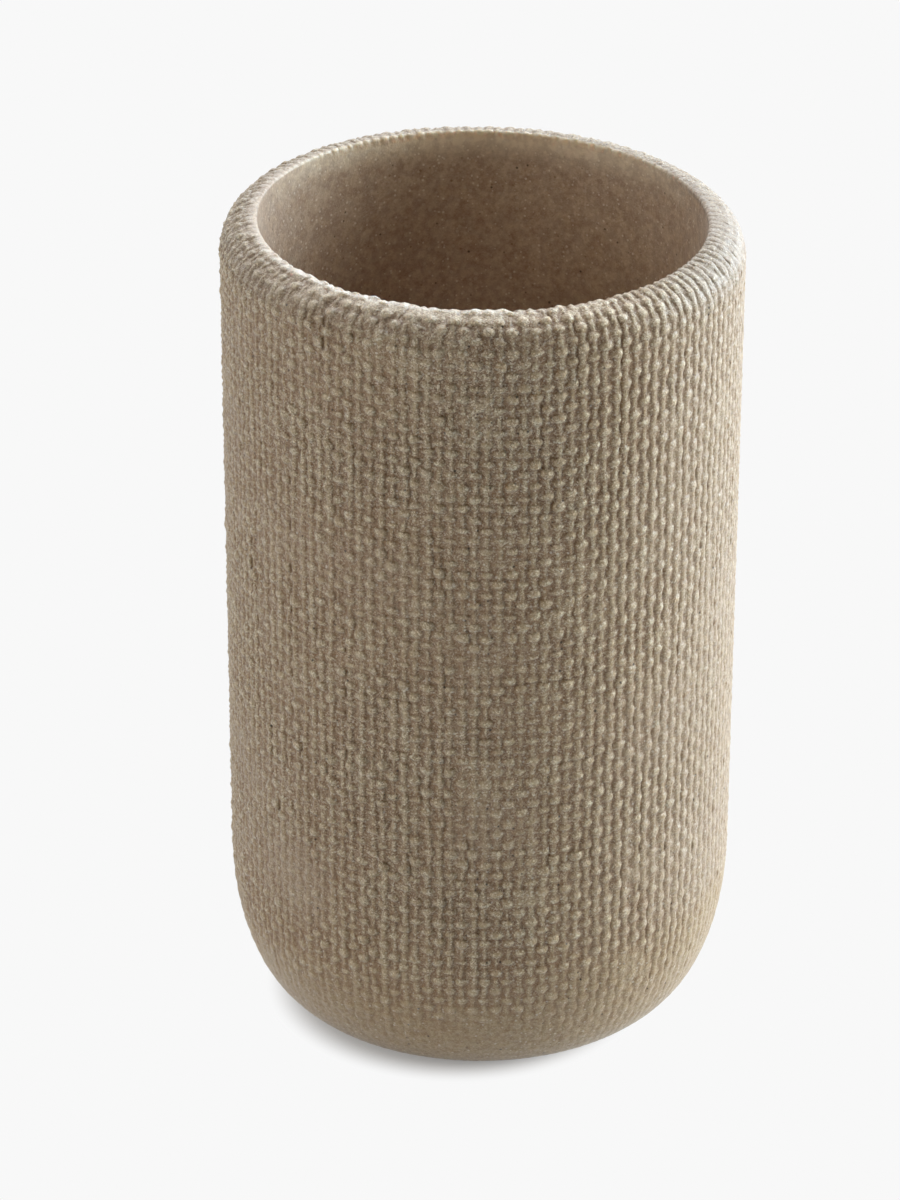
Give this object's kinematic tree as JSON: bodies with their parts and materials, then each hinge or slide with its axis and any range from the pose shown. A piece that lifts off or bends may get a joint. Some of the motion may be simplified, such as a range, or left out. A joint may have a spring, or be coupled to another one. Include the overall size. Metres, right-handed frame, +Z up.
{
  "type": "bathroom tumbler",
  "caption": "Straight-sided cast resin bathroom cup with a woven-cloth relief outside, a rolled rim over a smooth bore, a drawn-in foot and a soft pad set in its base.",
  "frame": {"origin": "centre of the underside of the pad, on the surface that the tumbler stands on", "axes": "+Z up along the axis of the cup; the cup is round, so X and Y are free"},
  "size_m": [0.07, 0.07, 0.116],
  "materials": {
    "cast_resin": "matte",
    "foam_pad": "matte",
    "adhesive_film": "satin"
  },
  "bodies": {
    "root": {"tumbler_body": "cast_resin", "base_pad": "foam_pad", "pad_adhesive": "adhesive_film"}
  },
  "joints": []
}
